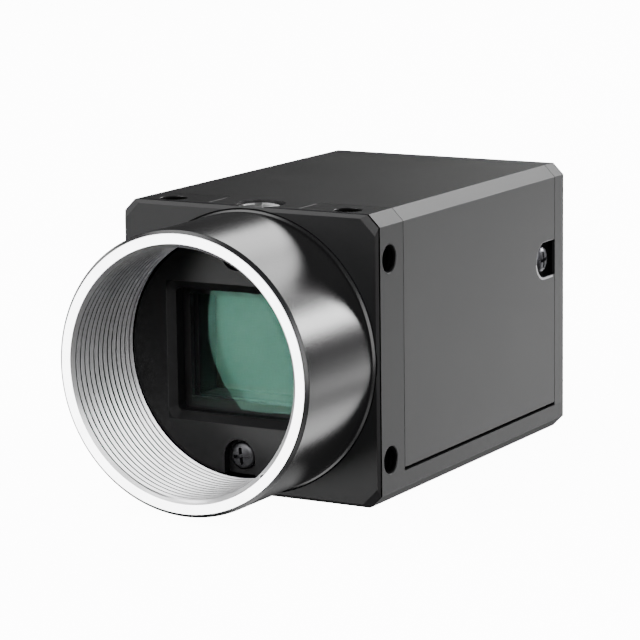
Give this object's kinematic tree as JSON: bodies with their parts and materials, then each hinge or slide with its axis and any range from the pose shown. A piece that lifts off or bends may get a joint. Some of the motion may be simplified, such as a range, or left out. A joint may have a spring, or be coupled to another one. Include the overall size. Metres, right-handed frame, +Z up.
{
  "type": "machine vision camera",
  "caption": "Small square-bodied machine vision camera with a threaded lens mount ring in front, a masked image sensor inside it, and a network socket and round connector behind.",
  "frame": {"origin": "centre of the lens flange face, on the optical axis", "axes": "+Y runs back along the optical axis through the body, +Z is up away from the base, +X is to the right seen from the front"},
  "size_m": [0.029, 0.0608, 0.029],
  "materials": {
    "lens_mount_ring": "turned; black anodised outside, bare bright metal on the flange face and in the thread",
    "front_plate": "dark grey satin powder coat, lighter on the bevelled edges",
    "front_housing": "die-cast, dark grey satin powder coat; bare metal inside the fixing holes",
    "top_cover": "die-cast, dark grey satin powder coat",
    "rear_panel": "die-cast, dark grey satin powder coat",
    "sensor_mask": "moulded, matte black",
    "filter_glass": "coated filter glass with a teal mirror sheen",
    "sensor_seal": "soft black rubber",
    "sensor_cover_glass": "clear cover glass",
    "sensor_package": "grey ceramic package, satin",
    "sensor_die": "polished silicon with a faint grid",
    "sensor_board": "green circuit board with solder mask",
    "main_board": "green circuit board with solder mask",
    "interface_board": "green circuit board with solder mask",
    "front_standoffs": "turned brass",
    "rear_standoffs": "turned brass",
    "board_screws": "bright zinc-plated steel",
    "sensor_link": "black moulded board connector",
    "interface_link": "black moulded board connector",
    "processor_chip": "black moulded chip package",
    "memory_chips": "black moulded chip packages",
    "network_socket_shell": "nickel-plated folded sheet",
    "network_socket_insert": "black moulded plastic",
    "network_contacts": "gold-plated springs",
    "io_connector_shell": "nickel-plated, satin",
    "io_connector_insert": "black moulded insulator",
    "io_connector_pins": "gold-plated pins",
    "status_led": "pale light chip",
    "status_light_pipe": "clear polished plastic",
    "mask_screws": "blackened steel, pan head with cross recess",
    "cover_front_screw": "bright steel, pan head with cross recess",
    "cover_side_screws": "blackened steel, pan head with cross recess"
  },
  "bodies": {
    "root": {"lens_mount_ring": "lens_mount_ring", "front_plate": "front_plate", "front_housing": "front_housing", "top_cover": "top_cover", "rear_panel": "rear_panel", "sensor_mask": "sensor_mask", "filter_glass": "filter_glass", "sensor_seal": "sensor_seal", "sensor_cover_glass": "sensor_cover_glass", "sensor_package": "sensor_package", "sensor_die": "sensor_die", "sensor_board": "sensor_board", "main_board": "main_board", "interface_board": "interface_board", "front_standoffs": "front_standoffs", "rear_standoffs": "rear_standoffs", "board_screws": "board_screws", "sensor_link": "sensor_link", "interface_link": "interface_link", "processor_chip": "processor_chip", "memory_chips": "memory_chips", "network_socket_shell": "network_socket_shell", "network_socket_insert": "network_socket_insert", "network_contacts": "network_contacts", "io_connector_shell": "io_connector_shell", "io_connector_insert": "io_connector_insert", "io_connector_pins": "io_connector_pins", "status_led": "status_led", "status_light_pipe": "status_light_pipe", "mask_screws": "mask_screws", "cover_front_screw": "cover_front_screw", "cover_side_screws": "cover_side_screws"}
  },
  "joints": []
}
